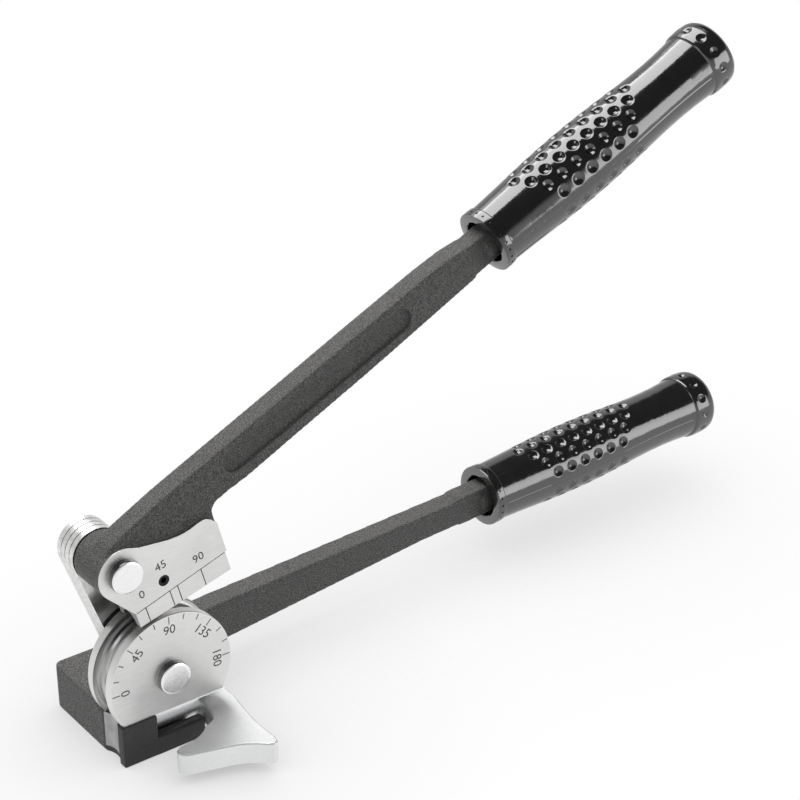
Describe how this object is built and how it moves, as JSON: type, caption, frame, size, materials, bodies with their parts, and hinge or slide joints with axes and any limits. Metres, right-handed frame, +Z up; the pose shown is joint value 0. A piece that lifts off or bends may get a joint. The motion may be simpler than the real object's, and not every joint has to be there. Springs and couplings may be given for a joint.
{
  "type": "lever tube bender",
  "caption": "Hand tube bender with a grooved forming wheel and dial on the lower lever, a linked upper lever with a bending shoe, a thumb latch and glossy black grips.",
  "frame": {"origin": "on the flat bottom of the lower handle's block, straight under the forming wheel's axis and in the middle plane of the tube groove", "axes": "+X runs right, the way the handles point, +Y runs back from the dial, +Z is up, and the wheel's axis is along Y"},
  "size_m": [0.3086, 0.0851, 0.2129],
  "materials": {
    "dark_coat": "textured dark grey coating",
    "bare_steel": "satin, machined",
    "zinc_steel": "zinc plated",
    "black_steel": "black oxide",
    "bush": "plain",
    "grip": "glossy black"
  },
  "bodies": {
    "form": {"form_handle": "dark_coat", "form_grip": "grip", "form_wheel": "bare_steel", "wheel_screws": "black_steel", "wheel_pin": "bare_steel", "wheel_washer": "zinc_steel", "wheel_pin_washer": "zinc_steel", "wheel_pin_ring": "black_steel", "latch_pin": "zinc_steel"},
    "link": {"link_plate_1": "zinc_steel", "link_plate_2": "zinc_steel", "link_plate_3": "zinc_steel", "link_plate_4": "zinc_steel", "link_bush": "bush", "link_pin": "bare_steel", "link_pin_washer": "zinc_steel", "link_pin_ring": "black_steel"},
    "shoe_lever": {"shoe_handle": "dark_coat", "shoe_grip": "grip", "handle_bush": "bush", "shoe": "bare_steel", "shoe_screw": "black_steel"},
    "thumb_latch": {"latch": "zinc_steel", "latch_screw": "black_steel"}
  },
  "joints": [
    {"name": "link_swing", "type": "hinge", "parent": "form", "child": "link", "pos_m": [0, 0, 0.0295], "axis": [0, 1, 0], "range_deg": [-75, 105]},
    {"name": "shoe_lift", "type": "hinge", "parent": "link", "child": "shoe_lever", "pos_m": [-0.016, 0, 0.07532], "axis": [0, -1, 0], "range_deg": [0, 110]},
    {"name": "latch_flip", "type": "hinge", "parent": "form", "child": "thumb_latch", "pos_m": [0.008, 0.00175, 0.01], "axis": [1, 0, 0], "range_deg": [0, 90]}
  ]
}
